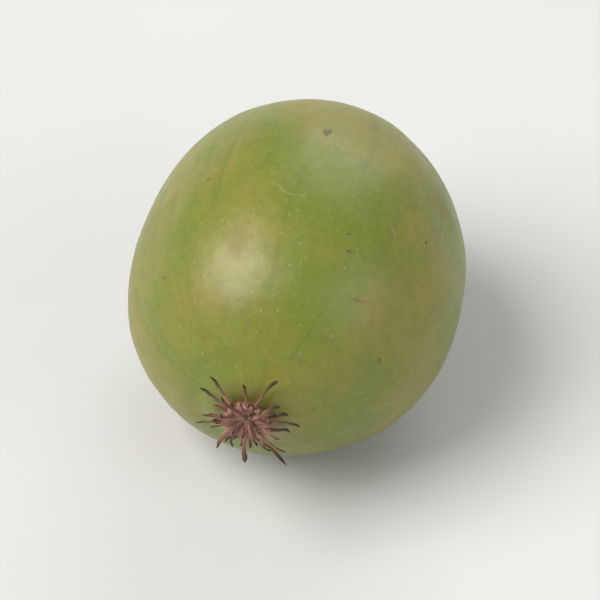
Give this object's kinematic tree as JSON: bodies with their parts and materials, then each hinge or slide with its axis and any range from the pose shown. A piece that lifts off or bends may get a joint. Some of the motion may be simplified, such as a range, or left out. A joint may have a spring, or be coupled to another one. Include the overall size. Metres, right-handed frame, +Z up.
{
  "type": "kiwi berry",
  "caption": "Whole kiwi berry lying on its side: a plump oval green fruit with a brown tuft of dried styles on a short beak in front and a brown corky stem scar behind.",
  "frame": {"origin": "middle of the small flat on the underside that the fruit rests on, under its centre of mass", "axes": "+Z up from the surface it rests on; -Y along the fruit towards its style end with the tuft; +X across the fruit"},
  "size_m": [0.0244, 0.0305, 0.0233],
  "materials": {
    "green_skin": "smooth fruit skin with a soft sheen",
    "dried_styles": "dry and papery",
    "corky_scar": "dry and corky"
  },
  "bodies": {
    "root": {"berry": "green_skin", "style_tuft": "dried_styles", "stem_scar": "corky_scar"}
  },
  "joints": []
}
